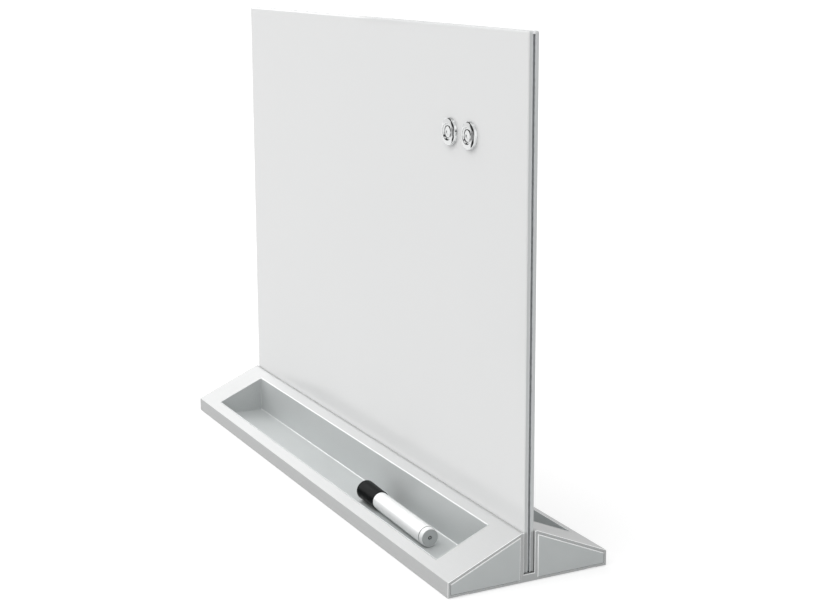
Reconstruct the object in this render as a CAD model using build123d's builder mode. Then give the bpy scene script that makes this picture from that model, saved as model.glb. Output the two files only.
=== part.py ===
"""Desk-top glass whiteboard that stands in a low base with a pen tray on each side.

Millimetres. The origin is the middle of the base on the desk, +X runs along the board to the
right, +Y to the back and +Z up. Two round magnets sit on the front glass and a capped marker
lies in the front tray.
"""
import math
import os

from build123d import *

# ---- Board: two glass panels, each on a steel sheet, either side of a thin core ----
board_width = 598.0
board_height = 450.0
glass_thickness = 3.2
steel_thickness = 0.5
core_thickness = 2.2
glass_corner_radius = 1.8
glass_bevel_width = 1.4
glass_bevel_depth = 0.5
steel_inset = 0.4
core_side_inset = 3.0
top_strip_height = 2.0

# ---- Base: one extruded profile with a channel between two hollow wings ----
base_end_reach = 1.0
base_depth = 154.6
lip_height = 14.2
apex_height = 44.2
channel_floor = 7.5
bottom_wall = 2.2
lip_wall = 2.4
slope_wall = 2.3
channel_wall = 2.6
channel_clearance = 0.5
profile_edge_radius = 0.5

# ---- What lines the channel and carries the board ----
liner_thickness = 0.35
liner_end_inset = 4.0
liner_top_inset = 1.5
liner_bottom_gap = 1.0
setting_pad_thickness = 0.5
setting_pad_length = 40.0
setting_pad_count = 4

# ---- Non-slip feet, stuck in two grooves under the base ----
foot_proud = 0.5
foot_length = 40.0
foot_width = 10.0
foot_groove_depth = 0.6
foot_side_clearance = 0.2
foot_lip_distance = 15.0
foot_end_distance = 45.0
feet_per_groove = 3

# ---- Pen trays, dropped into the openings of the two slopes ----
tray_end_border = 40.0
tray_upper_border = 9.6
tray_lower_border = 10.8
tray_wall = 1.0
tray_floor = 0.8
tray_fit = 0.1
tray_rim_proud = 0.2
tray_corner_radius = 0.8

# ---- End caps, plugged into the four ends of the wings ----
cap_groove_width = 0.45
cap_groove_depth = 1.0
cap_plate = 3.0
cap_reach = 12.0
cap_skirt_wall = 1.8
cap_fit = 0.1

# ---- Round magnets on the front glass ----
magnet_radius = 12.5
magnet_height = 3.6
magnet_side_taper = 0.5
magnet_skirt_wall = 0.9
magnet_rim_round = 1.0
magnet_dish_radius = 7.3
magnet_dish_wall = 0.5
magnet_boss_slope = 1.3
magnet_boss_drop = 1.0
magnet_boss_edge = 0.4
magnet_dimple_radius = 3.2
magnet_dimple_depth = 0.5
magnet_disc_margin = 2.1
magnet_disc_thickness = 1.0
magnet_pad_thickness = 0.3
magnet_pad_proud = 0.1
magnet_fit = 0.1
magnet_face_gap = 0.05
magnet_side_distance = 94.0
magnet_top_distance = 92.0
magnet_spacing = 35.0

# ---- Marker lying in the front tray; lengths along it start at its plug end ----
marker_length = 138.0
marker_end_distance = 58.4
marker_turn = 1.0
marker_rest_gap = 0.3
barrel_radius = 8.75
barrel_taper = 0.4
barrel_wall = 1.5
barrel_shoulder_radius = 1.0
barrel_end_wall = 1.8
plug_collar_length = 5.2
plug_collar_taper = 0.55
plug_edge_radius = 0.3
plug_groove_width = 0.9
plug_groove_depth = 0.75
plug_spigot_length = 6.0
plug_fit = 0.1
plug_collar_rim = 0.6
end_disc_thickness = 1.3
end_disc_dimple_radius = 1.9
end_disc_dimple_depth = 0.7
end_disc_nub_radius = 0.8
end_disc_nub_height = 0.4
marker_cap_length = 35.0
marker_cap_step = 0.8
marker_cap_flare = 0.6
marker_cap_mouth_wall = 0.8
marker_cap_end_wall = 3.0
marker_cap_edge_radius = 2.0
marker_cap_mouth_gap = 0.2
barrel_end_ledge = 2.15
nozzle_neck_length = 8.0
nozzle_cone_length = 8.0
nozzle_tip_wall = 1.05
nozzle_flange_length = 7.0
nib_radius = 2.4
nib_reach = 6.0
nib_clearance = 0.15
reservoir_clearance = 0.35
seal_clearance = 0.2
seal_wall = 1.1
seal_flange_length = 2.5
seal_mouth_inset = 3.0
seal_end_wall = 1.2

# ---- Sizes that follow from the ones above ----
board_thickness = 2 * (glass_thickness + steel_thickness) + core_thickness
board_half = board_thickness / 2
board_bottom = channel_floor + setting_pad_thickness
board_top = board_bottom + board_height
half_width = board_width / 2
half_length = half_width + base_end_reach
half_depth = base_depth / 2
channel_half = board_half + channel_clearance
land_edge = channel_half + channel_wall
slope_angle = math.atan2(apex_height - lip_height, half_depth - land_edge)
slope_drop = slope_wall / math.cos(slope_angle)
cavity_floor = foot_proud + bottom_wall
cavity_outer = half_depth - lip_wall
tray_half_length = half_length - tray_end_border
tray_back = land_edge + tray_upper_border
tray_front = half_depth - tray_lower_border
tray_middle = (tray_back + tray_front) / 2
tray_floor_top = cavity_floor + tray_floor
foot_y = half_depth - foot_lip_distance
foot_height = foot_proud + foot_groove_depth

FRONT, BACK = -1, 1
LEFT, RIGHT = -1, 1
WINGS = {"front": FRONT, "rear": BACK}
ENDS = {"left": LEFT, "right": RIGHT}


def slope_height(distance):
    """Height of the slope's outer surface at a distance from the middle plane."""
    return lip_height + (half_depth - distance) * math.tan(slope_angle)


def side_points(points, side):
    """The same outline on the front (-1) or the back (+1) side of the middle plane."""
    return [(side * across, height) for across, height in points]


def save(builder, name):
    """Label a finished piece and write its STEP file."""
    builder.part.label = name
    export_step(builder.part, f"parts/{name}.step")
    print(f"{name:24s} {len(builder.part.solids())} solid(s) {builder.part.volume:12.2f} mm3")


os.makedirs("parts", exist_ok=True)

# ======================================================================================
# Base profile
# ======================================================================================
profile_outline = [
    (-half_depth, foot_proud),
    (half_depth, foot_proud),
    (half_depth, lip_height),
    (land_edge, apex_height),
    (channel_half, apex_height),
    (channel_half, channel_floor),
    (-channel_half, channel_floor),
    (-channel_half, apex_height),
    (-land_edge, apex_height),
    (-half_depth, lip_height),
]
cavity_outline = [
    (land_edge, cavity_floor),
    (cavity_outer, cavity_floor),
    (cavity_outer, slope_height(cavity_outer) - slope_drop),
    (land_edge, apex_height - slope_drop),
]

with BuildPart() as base_profile:
    with BuildSketch(Plane.YZ) as section:
        with BuildLine():
            Polyline(*profile_outline, close=True)
        make_face()
        outer_corners = section.vertices().filter_by(
            lambda corner: abs(corner.Y) > channel_half + channel_wall / 2
        )
        fillet(outer_corners, radius=profile_edge_radius)
        for side in (FRONT, BACK):
            with BuildLine():
                Polyline(*side_points(cavity_outline, side), close=True)
            make_face(mode=Mode.SUBTRACT)
        with Locations((-foot_y, foot_proud), (foot_y, foot_proud)):
            Rectangle(foot_width + 2 * foot_side_clearance, 2 * foot_groove_depth, mode=Mode.SUBTRACT)
    extrude(amount=half_length, both=True)
    # the opening of each tray goes through the slope, down to the hollow of the wing
    opening_span = tray_front - tray_back + 2 * (tray_wall + tray_fit)
    with BuildSketch(Plane.XY.offset(cavity_floor)):
        with Locations((0, -tray_middle), (0, tray_middle)):
            Rectangle(2 * (tray_half_length + tray_wall + tray_fit), opening_span)
    extrude(amount=apex_height, mode=Mode.SUBTRACT)
save(base_profile, "base_profile")

# ======================================================================================
# Pen trays
# ======================================================================================
tray_outline = [
    (tray_back - tray_wall, cavity_floor),
    (tray_front + tray_wall, cavity_floor),
    (tray_front + tray_wall, slope_height(tray_front + tray_wall) + tray_rim_proud),
    (tray_back - tray_wall, slope_height(tray_back - tray_wall) + tray_rim_proud),
]
pocket_outline = [
    (tray_back, tray_floor_top),
    (tray_front, tray_floor_top),
    (tray_front, 2 * apex_height),
    (tray_back, 2 * apex_height),
]
for wing, side in WINGS.items():
    with BuildPart() as tray:
        with BuildSketch(Plane.YZ):
            with BuildLine():
                Polyline(*side_points(tray_outline, side), close=True)
            make_face()
        extrude(amount=tray_half_length + tray_wall, both=True)
        with BuildSketch(Plane.YZ):
            with BuildLine():
                Polyline(*side_points(pocket_outline, side), close=True)
            make_face()
        extrude(amount=tray_half_length, both=True, mode=Mode.SUBTRACT)
        pocket_floor = tray.faces().filter_by(Axis.Z).sort_by(Axis.Z)[-1]
        pocket_corners = tray.edges().filter_by(Axis.Z).filter_by(
            lambda edge: abs(abs(edge.center().X) - tray_half_length) < tray_wall / 2
        )
        fillet(pocket_floor.edges() + pocket_corners, radius=tray_corner_radius)
    save(tray, f"{wing}_tray")

# ======================================================================================
# End caps: a face plate flush with the profile's end, on a skirt inside the wing
# ======================================================================================


def end_span(end, near, far):
    """Start and length along X of a span that lies from near to far inside one end."""
    start = min(end * (half_length - near), end * (half_length - far))
    return start, far - near


for wing, side in WINGS.items():
    for end_name, end in ENDS.items():
        with BuildPart() as end_cap:
            for near, far, inset in (
                (0.0, cap_groove_depth, cap_groove_width),
                (cap_groove_depth, cap_reach, cap_fit),
            ):
                start, length = end_span(end, near, far)
                with BuildSketch(Plane.YZ.offset(start)):
                    with BuildLine():
                        Polyline(*side_points(cavity_outline, side), close=True)
                    make_face()
                    offset(amount=-inset, kind=Kind.INTERSECTION, mode=Mode.REPLACE)
                extrude(amount=length)
            start, length = end_span(end, cap_plate, cap_reach)
            with BuildSketch(Plane.YZ.offset(start)):
                with BuildLine():
                    Polyline(*side_points(cavity_outline, side), close=True)
                make_face()
                offset(amount=-cap_fit - cap_skirt_wall, kind=Kind.INTERSECTION, mode=Mode.REPLACE)
            extrude(amount=length, mode=Mode.SUBTRACT)
        save(end_cap, f"end_cap_{wing}_{end_name}")

# ======================================================================================
# Channel liners, setting pads and feet
# ======================================================================================
liner_bottom = board_bottom + liner_bottom_gap
liner_height = apex_height - liner_top_inset - liner_bottom
for wing, side in WINGS.items():
    with BuildPart() as channel_liner:
        with BuildSketch(Plane.XY.offset(liner_bottom)):
            with Locations((0, side * (channel_half - liner_thickness / 2))):
                Rectangle(2 * (half_length - liner_end_inset), liner_thickness)
        extrude(amount=liner_height)
    save(channel_liner, f"channel_liner_{wing}")

with BuildPart() as setting_pads:
    with BuildSketch(Plane.XY.offset(channel_floor)):
        with GridLocations(board_width / setting_pad_count, 0, setting_pad_count, 1):
            Rectangle(setting_pad_length, board_thickness)
    extrude(amount=setting_pad_thickness)
save(setting_pads, "setting_pads")

foot_spacing = 2 * (half_length - foot_end_distance) / (feet_per_groove - 1)
with BuildPart() as non_slip_feet:
    with BuildSketch():
        with GridLocations(foot_spacing, 2 * foot_y, feet_per_groove, 2):
            SlotOverall(foot_length, foot_width)
    extrude(amount=foot_height)
save(non_slip_feet, "non_slip_feet")

# ======================================================================================
# Board
# ======================================================================================
board_middle = board_bottom + board_height / 2


def upright(distance):
    """Plane parallel to the board at a distance in front of (-) or behind (+) its middle.

    Its X axis runs along the board and its Y axis up.
    """
    return Plane(origin=(0, distance, board_middle), x_dir=(1, 0, 0), z_dir=(0, -1, 0))


for wing, side in WINGS.items():
    steel_inner = core_thickness / 2
    glass_inner = steel_inner + steel_thickness
    with BuildPart() as glass_panel:
        with BuildSketch(upright(side * glass_inner)):
            RectangleRounded(board_width, board_height, glass_corner_radius)
        extrude(amount=-side * glass_thickness)
        writing_face = glass_panel.faces().sort_by(Axis.Y)[-1 if side == BACK else 0]
        chamfer(writing_face.edges(), glass_bevel_width, glass_bevel_depth, reference=writing_face)
    save(glass_panel, f"{wing}_glass_panel")

    with BuildPart() as steel_sheet:
        with BuildSketch(upright(side * steel_inner)):
            Rectangle(board_width - 2 * steel_inset, board_height - 2 * steel_inset)
        extrude(amount=-side * steel_thickness)
    save(steel_sheet, f"{wing}_steel_sheet")

strip_top = board_top - steel_inset
strip_bottom = strip_top - top_strip_height
with BuildPart() as top_spacer_strip:
    with BuildSketch(Plane.XY.offset(strip_bottom)):
        Rectangle(board_width - 2 * steel_inset, core_thickness)
    extrude(amount=top_strip_height)
save(top_spacer_strip, "top_spacer_strip")

with BuildPart() as core_sheet:
    with BuildSketch(Plane.XY.offset(board_bottom + steel_inset)):
        Rectangle(board_width - 2 * core_side_inset, core_thickness)
    extrude(amount=strip_bottom - board_bottom - steel_inset)
save(core_sheet, "core_sheet")

# ======================================================================================
# Magnets: each a chromed dish over a disc magnet, with a thin pad against the glass.
# Heights in a magnet's section are measured from the glass.
# ======================================================================================
magnet_base_radius = magnet_radius - magnet_side_taper
magnet_pad_radius = magnet_base_radius - magnet_skirt_wall - magnet_fit
magnet_disc_radius = magnet_pad_radius - magnet_disc_margin
magnet_boss_radius = magnet_dish_radius - magnet_boss_slope
magnet_boss_height = magnet_height - magnet_boss_drop
shell_underside = magnet_pad_thickness + magnet_disc_thickness + magnet_fit
magnet_dish_height = shell_underside + magnet_dish_wall
rim_middle = magnet_radius - magnet_rim_round
rim_start = magnet_height - magnet_rim_round
rim_step = magnet_rim_round * math.sqrt(0.5)
boss_edge_middle = magnet_boss_radius - magnet_boss_edge
boss_edge_start = magnet_boss_height - magnet_boss_edge
boss_edge_step = magnet_boss_edge * math.sqrt(0.5)

magnet_right = half_width - magnet_side_distance
magnet_z = board_top - magnet_top_distance
for name, across in {"left": magnet_right - magnet_spacing, "right": magnet_right}.items():
    section_plane = Plane(
        origin=(across, -board_half - magnet_face_gap, magnet_z), x_dir=(1, 0, 0), z_dir=(0, 0, -1)
    )
    magnet_axis = Axis((across, 0, magnet_z), (0, -1, 0))

    with BuildPart() as magnet_shell:
        with BuildSketch(section_plane):
            with BuildLine():
                Polyline(
                    (0, magnet_boss_height - magnet_dimple_depth),
                    (0, shell_underside),
                    (magnet_disc_radius + magnet_fit, shell_underside),
                    (magnet_disc_radius + magnet_fit, magnet_pad_thickness),
                    (magnet_pad_radius + magnet_fit, magnet_pad_thickness),
                    (magnet_pad_radius + magnet_fit, magnet_pad_proud),
                    (magnet_base_radius, magnet_pad_proud),
                    (magnet_radius, rim_start),
                )
                ThreePointArc(
                    (magnet_radius, rim_start),
                    (rim_middle, magnet_height),
                    (rim_middle - rim_step, rim_start + rim_step),
                )
                TangentArc(
                    (rim_middle - rim_step, rim_start + rim_step),
                    (magnet_dish_radius, magnet_dish_height),
                    tangent=(-1, -1),
                )
                Line((magnet_dish_radius, magnet_dish_height), (magnet_boss_radius, boss_edge_start))
                ThreePointArc(
                    (magnet_boss_radius, boss_edge_start),
                    (boss_edge_middle + boss_edge_step, boss_edge_start + boss_edge_step),
                    (boss_edge_middle, magnet_boss_height),
                )
                Line((boss_edge_middle, magnet_boss_height), (magnet_dimple_radius, magnet_boss_height))
                TangentArc(
                    (0, magnet_boss_height - magnet_dimple_depth),
                    (magnet_dimple_radius, magnet_boss_height),
                    tangent=(1, 0),
                )
            make_face()
        revolve(axis=magnet_axis)
    save(magnet_shell, f"magnet_shell_{name}")

    with BuildPart() as magnet_disc:
        with BuildSketch(section_plane):
            with Locations((0, magnet_pad_thickness)):
                Rectangle(magnet_disc_radius, magnet_disc_thickness, align=Align.MIN)
        revolve(axis=magnet_axis)
    save(magnet_disc, f"magnet_disc_{name}")

    with BuildPart() as magnet_pad:
        with BuildSketch(section_plane):
            Rectangle(magnet_pad_radius, magnet_pad_thickness, align=Align.MIN)
        revolve(axis=magnet_axis)
    save(magnet_pad, f"magnet_pad_{name}")

# ======================================================================================
# Marker: it rests on its barrel's plug end and on the wide end of its cap
# ======================================================================================
barrel_start = plug_collar_length + plug_groove_width
cap_mouth = marker_length - marker_cap_length
barrel_mouth_radius = barrel_radius - barrel_taper
barrel_bore = barrel_mouth_radius - barrel_wall
marker_cap_radius = barrel_radius + marker_cap_step
cap_mouth_radius = marker_cap_radius - marker_cap_flare
cap_edge_start = marker_length - marker_cap_edge_radius
tilt = math.asin((marker_cap_radius - barrel_radius) / (cap_edge_start - barrel_start))
turn = math.radians(marker_turn)
axis_height = tray_floor_top + marker_rest_gap + barrel_radius - barrel_start * math.tan(tilt)

marker_origin = Vector(tray_half_length - marker_end_distance, -tray_middle, axis_height)
marker_heading = Vector(
    -math.cos(turn) * math.cos(tilt), math.sin(turn) * math.cos(tilt), math.sin(tilt)
)
marker_across = Vector(-math.sin(turn), -math.cos(turn), 0)
marker_plane = Plane(
    origin=marker_origin, x_dir=marker_across, z_dir=marker_across.cross(marker_heading)
)
marker_axis = Axis(marker_origin, marker_heading)
print("marker heading", [round(value, 6) for value in marker_heading])

# stations along the marker, from its plug end
spigot_end = barrel_start + plug_spigot_length
barrel_end = cap_mouth + marker_cap_mouth_gap
flange_end = barrel_end - barrel_end_wall
flange_start = flange_end - nozzle_flange_length
neck_end = barrel_end + nozzle_neck_length
nozzle_end = neck_end + nozzle_cone_length
nib_tip = nozzle_end + nib_reach

shoulder_start = barrel_end - barrel_shoulder_radius
shoulder_centre = barrel_mouth_radius - barrel_shoulder_radius
shoulder_step = barrel_shoulder_radius * math.sqrt(0.5)
neck_hole = shoulder_centre - barrel_end_ledge
nozzle_neck_radius = neck_hole - plug_fit
with BuildPart() as marker_barrel:
    with BuildSketch(marker_plane):
        with BuildLine():
            Polyline(
                (neck_hole, barrel_end),
                (neck_hole, flange_end),
                (barrel_bore, flange_end),
                (barrel_bore, barrel_start),
                (barrel_radius, barrel_start),
                (barrel_mouth_radius, shoulder_start),
            )
            ThreePointArc(
                (barrel_mouth_radius, shoulder_start),
                (shoulder_centre + shoulder_step, shoulder_start + shoulder_step),
                (shoulder_centre, barrel_end),
            )
            Line((shoulder_centre, barrel_end), (neck_hole, barrel_end))
        make_face()
    revolve(axis=marker_axis)
save(marker_barrel, "marker_barrel")

nib_round_start = nib_tip - nib_radius
nib_round_step = nib_radius * math.sqrt(0.5)
with BuildPart() as marker_nib:
    with BuildSketch(marker_plane):
        with BuildLine():
            Polyline(
                (0, nib_tip),
                (0, flange_start),
                (nib_radius, flange_start),
                (nib_radius, nib_round_start),
            )
            ThreePointArc(
                (nib_radius, nib_round_start),
                (nib_round_step, nib_round_start + nib_round_step),
                (0, nib_tip),
            )
        make_face()
    revolve(axis=marker_axis)
save(marker_nib, "marker_nib")

cap_bore = cap_mouth_radius - marker_cap_mouth_wall
cap_bore_end = marker_length - marker_cap_end_wall
cap_edge_centre = marker_cap_radius - marker_cap_edge_radius
cap_edge_step = marker_cap_edge_radius * math.sqrt(0.5)
with BuildPart() as marker_cap:
    with BuildSketch(marker_plane):
        with BuildLine():
            Polyline(
                (0, marker_length),
                (0, cap_bore_end),
                (cap_bore, cap_bore_end),
                (cap_bore, cap_mouth),
                (cap_mouth_radius, cap_mouth),
                (marker_cap_radius, cap_edge_start),
            )
            ThreePointArc(
                (marker_cap_radius, cap_edge_start),
                (cap_edge_centre + cap_edge_step, cap_edge_start + cap_edge_step),
                (cap_edge_centre, marker_length),
            )
            Line((cap_edge_centre, marker_length), (0, marker_length))
        make_face()
    revolve(axis=marker_axis)
save(marker_cap, "marker_cap")

# the marker's straight-sided pieces, as (radius, distance from the plug end) outlines
collar_end_radius = barrel_radius - plug_collar_taper
end_disc_radius = collar_end_radius - plug_collar_rim
disc_pocket_radius = end_disc_radius + plug_fit
nib_hole = nib_radius + nib_clearance
dimple_nub_top = end_disc_dimple_depth - end_disc_nub_height
seal_start = cap_mouth + seal_mouth_inset
seal_bore = nozzle_neck_radius + seal_clearance
seal_flange_radius = cap_bore - plug_fit
turned_pieces = {
    "marker_end_plug": [
        (0, end_disc_thickness),
        (disc_pocket_radius, end_disc_thickness),
        (disc_pocket_radius, 0),
        (collar_end_radius - plug_edge_radius, 0),
        (collar_end_radius, plug_edge_radius),
        (barrel_radius, plug_collar_length),
        (barrel_radius - plug_groove_depth, plug_collar_length),
        (barrel_radius - plug_groove_depth, barrel_start),
        (barrel_bore - plug_fit, barrel_start),
        (barrel_bore - plug_fit, spigot_end),
        (0, spigot_end),
    ],
    "marker_end_disc": [
        (0, dimple_nub_top),
        (end_disc_nub_radius, dimple_nub_top),
        (end_disc_nub_radius, end_disc_dimple_depth),
        (end_disc_dimple_radius, end_disc_dimple_depth),
        (end_disc_dimple_radius, 0),
        (end_disc_radius, 0),
        (end_disc_radius, end_disc_thickness),
        (0, end_disc_thickness),
    ],
    "marker_nozzle": [
        (nib_hole, flange_start),
        (barrel_bore - plug_fit, flange_start),
        (barrel_bore - plug_fit, flange_end),
        (nozzle_neck_radius, flange_end),
        (nozzle_neck_radius, neck_end),
        (nib_hole + nozzle_tip_wall, nozzle_end),
        (nib_hole, nozzle_end),
    ],
    "marker_reservoir": [
        (0, spigot_end),
        (barrel_bore - reservoir_clearance, spigot_end),
        (barrel_bore - reservoir_clearance, flange_start),
        (0, flange_start),
    ],
    "marker_cap_seal": [
        (seal_bore, seal_start),
        (seal_flange_radius, seal_start),
        (seal_flange_radius, seal_start + seal_flange_length),
        (seal_bore + seal_wall, seal_start + seal_flange_length),
        (seal_bore + seal_wall, cap_bore_end),
        (0, cap_bore_end),
        (0, cap_bore_end - seal_end_wall),
        (seal_bore, cap_bore_end - seal_end_wall),
    ],
}
for name, outline in turned_pieces.items():
    with BuildPart() as turned_piece:
        with BuildSketch(marker_plane):
            with BuildLine():
                Polyline(*outline, close=True)
            make_face()
        revolve(axis=marker_axis)
    save(turned_piece, name)
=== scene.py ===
"""Looks of a desk-top glass whiteboard in a low tray base, with two magnets and a marker.

Sizes are in millimetres and in the frame of the CAD model: +X along the board to the right,
+Y to the back, +Z up, and the origin in the middle of the base on the desk.
"""
import logging
import math
from dataclasses import dataclass
from enum import Enum
from functools import cache
from typing import Callable, Sequence

import bmesh
import bpy
from mathutils import Matrix, Vector


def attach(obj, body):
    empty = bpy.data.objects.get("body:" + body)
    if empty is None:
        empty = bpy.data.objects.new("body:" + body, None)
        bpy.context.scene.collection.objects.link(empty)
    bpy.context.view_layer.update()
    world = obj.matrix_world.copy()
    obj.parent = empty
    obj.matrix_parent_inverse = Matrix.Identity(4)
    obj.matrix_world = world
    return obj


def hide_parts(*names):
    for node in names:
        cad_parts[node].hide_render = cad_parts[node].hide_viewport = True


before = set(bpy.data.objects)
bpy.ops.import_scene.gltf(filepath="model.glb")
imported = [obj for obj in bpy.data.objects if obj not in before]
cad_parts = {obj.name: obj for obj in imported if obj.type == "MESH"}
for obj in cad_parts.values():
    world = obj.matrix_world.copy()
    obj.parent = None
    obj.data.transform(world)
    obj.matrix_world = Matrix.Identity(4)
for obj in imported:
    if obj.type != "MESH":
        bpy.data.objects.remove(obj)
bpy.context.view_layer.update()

logging.basicConfig(level=logging.INFO, format="%(message)s")
log = logging.getLogger("whiteboard")

MM = 0.001
PICTURE_WIDTH = 813
NEAR = 0.01  # millimetres within which a point lies on a plane or a ring
RECESS_SLACK = 0.05  # millimetres by which a point may miss a recess
ACROSS, ALONG = 0.1, 0.99  # a normal's share of X on faces along the object and at its ends
CREASE = 50.0  # degrees between two faces from which their edge stays sharp

Colour = tuple[float, float, float]
Point = tuple[float, float, float]
Span = tuple[float, float]
Ring = tuple[float, float, float, int]
Outline = Sequence[Span]
Tint = Colour | bpy.types.NodeSocket
PointTest = Callable[[Vector], bool]
PartTest = Callable[[bmesh.types.BMEdge | bmesh.types.BMFace], bool]


class NodeWord(Enum):
    """A choice whose name is a word in the CAD nodes' names."""

    @property
    def word(self) -> str:
        """The word."""
        return self.name.lower()


class Side(NodeWord):
    """The front or the back half of the object."""

    FRONT = -1
    REAR = 1


class End(NodeWord):
    """The left or the right end of the object."""

    LEFT = -1
    RIGHT = 1


# ---------------------------------------------------------------------------------------
# Shader networks
# ---------------------------------------------------------------------------------------
class Value:
    """One number that varies over a surface; Python's operators on it add Math nodes."""

    def __init__(self, net: "Net", socket: bpy.types.NodeSocket) -> None:
        """Wrap an output socket of a net."""
        self.net = net
        self.socket = socket

    def maths(self, operation: str, *operands: "Value | float") -> "Value":
        """Add a Math node.

        Args:
            operation: The node's operation.
            operands: Its inputs in order.

        Returns:
            The node's result.
        """
        inputs = dict(enumerate(operands))
        node = self.net.add("ShaderNodeMath", {"operation": operation}, inputs)
        return Value(self.net, node.outputs[0])

    def __add__(self, other: "Value | float") -> "Value":
        """Sum."""
        return self.maths("ADD", self, other)

    __radd__ = __add__

    def __sub__(self, other: "Value | float") -> "Value":
        """Difference."""
        return self.maths("SUBTRACT", self, other)

    def __rsub__(self, other: float) -> "Value":
        """Difference from a number."""
        return self.maths("SUBTRACT", other, self)

    def __mul__(self, other: "Value | float") -> "Value":
        """Product."""
        return self.maths("MULTIPLY", self, other)

    __rmul__ = __mul__

    def larger(self, other: "Value") -> "Value":
        """The larger of two values."""
        return self.maths("MAXIMUM", self, other)

    def ramp(self, start: float, end: float) -> "Value":
        """Rise smoothly from 0 at start to 1 at end."""
        node = self.net.add(
            "ShaderNodeMapRange",
            {"interpolation_type": "SMOOTHSTEP"},
            {"Value": self, "From Min": start, "From Max": end},
        )
        return Value(self.net, node.outputs[0])


class Net:
    """The node network of a material or of the world."""

    def __init__(self, owner: bpy.types.Material | bpy.types.World) -> None:
        """Start an empty network in a new material or world."""
        owner.use_nodes = True
        self.tree = owner.node_tree
        self.tree.nodes.clear()

    def add(self, kind: str, settings: dict, inputs: dict) -> bpy.types.Node:
        """Add a node.

        Args:
            kind: The node's type.
            settings: Its own settings, set first.
            inputs: Numbers, colours or links for its sockets, by name or index.

        Returns:
            The new node.
        """
        node = self.tree.nodes.new(kind)
        for key, value in settings.items():
            setattr(node, key, value)
        for key, value in inputs.items():
            value = value.socket if isinstance(value, Value) else value
            if isinstance(value, bpy.types.NodeSocket):
                self.tree.links.new(value, node.inputs[key])
            else:
                node.inputs[key].default_value = value
        return node

    def place(self, stretch: Point = (1.0, 1.0, 1.0)) -> bpy.types.NodeSocket:
        """Give a point of the piece, in metres, with its axes stretched."""
        where = self.add("ShaderNodeTexCoord", {}, {}).outputs["Object"]
        inputs = {"Vector": where, "Scale": stretch}
        return self.add("ShaderNodeMapping", {}, inputs).outputs[0]

    def noise(
        self, size: float, stretch: Point = (1.0, 1.0, 1.0), detail: float = 2.0, rough: float = 0.5
    ) -> Value:
        """Add a noise.

        Args:
            size: How large its blobs are, in millimetres.
            stretch: How much denser it is along each axis.
            detail: How many finer layers it has.
            rough: How strong those layers are.

        Returns:
            Its value, 0 to 1 and mostly near a half.
        """
        inputs = {
            "Vector": self.place(stretch),
            "Scale": 1.0 / (size * MM),
            "Detail": detail,
            "Roughness": rough,
        }
        return Value(self, self.add("ShaderNodeTexNoise", {}, inputs).outputs[0])

    def cells(self, size: float) -> Value:
        """Give the distance to the nearest of scattered points, this many millimetres apart."""
        inputs = {"Vector": self.place(), "Scale": 1.0 / (size * MM)}
        return Value(self, self.add("ShaderNodeTexVoronoi", {}, inputs).outputs["Distance"])

    def height(self) -> Value:
        """Give a point's height in metres."""
        split = self.add("ShaderNodeSeparateXYZ", {}, {0: self.place()})
        return Value(self, split.outputs["Z"])

    def mix(self, share: Value, first: Tint, second: Tint) -> bpy.types.NodeSocket:
        """Blend two colours.

        Args:
            share: The second colour's share, 0 to 1.
            first: The first colour.
            second: The second colour.

        Returns:
            The socket of the blend.
        """
        inputs = {0: share}
        for key, colour in ((6, first), (7, second)):
            linked = isinstance(colour, bpy.types.NodeSocket)
            inputs[key] = colour if linked else (*colour, 1.0)
        return self.add("ShaderNodeMix", {"data_type": "RGBA"}, inputs).outputs[2]

    def bump(self, height: Value, depth: float, strength: float = 1.0) -> bpy.types.NodeSocket:
        """Turn a height of 0 to 1 into a normal, for a relief this many millimetres deep."""
        inputs = {"Strength": strength, "Distance": depth * MM, "Height": height}
        return self.add("ShaderNodeBump", {}, inputs).outputs[0]

    def seen(self) -> Value:
        """Give 1 to the camera, to reflections and through clear things, and 0 to soft light."""
        path = self.add("ShaderNodeLightPath", {}, {})
        names = ("Is Camera Ray", "Is Glossy Ray", "Is Transmission Ray")
        camera, glossy, clear = (Value(self, path.outputs[name]) for name in names)
        return camera.larger(glossy).larger(clear)

    def surface(self, inputs: dict) -> None:
        """End the network in a surface shader with these inputs."""
        shader = self.add("ShaderNodeBsdfPrincipled", {}, inputs)
        self.add("ShaderNodeOutputMaterial", {}, {"Surface": shader.outputs[0]})


def shade(colour: Colour, factor: float) -> Colour:
    """Make a colour lighter or darker."""
    return tuple(min(part * factor, 1.0) for part in colour)


@dataclass(frozen=True)
class Finish:
    """A finish of the object: a base colour and what varies over the surface."""

    name: str
    colour: Colour
    rough: float

    def sockets(self, net: Net) -> dict:
        """Give what this finish sets on the surface shader.

        Args:
            net: The network of its material.

        Returns:
            The shader's inputs, by name.
        """
        raise NotImplementedError

    @cache
    def material(self) -> bpy.types.Material:
        """Give the finish's material, and make it on first use."""
        made = bpy.data.materials.new(self.name)
        net = Net(made)
        net.surface(self.sockets(net))
        return made

    def tint(self, net: Net, share: Value, low: float, high: float) -> bpy.types.NodeSocket:
        """Vary the base colour by a share of 0 to 1, from a low to a high factor of it."""
        return net.mix(share, shade(self.colour, low), shade(self.colour, high))


class Pull(Enum):
    """The way that fine lines run in a metal."""

    ALONG = (0.02, 1.0, 1.0)
    NONE = (1.0, 1.0, 1.0)


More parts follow.
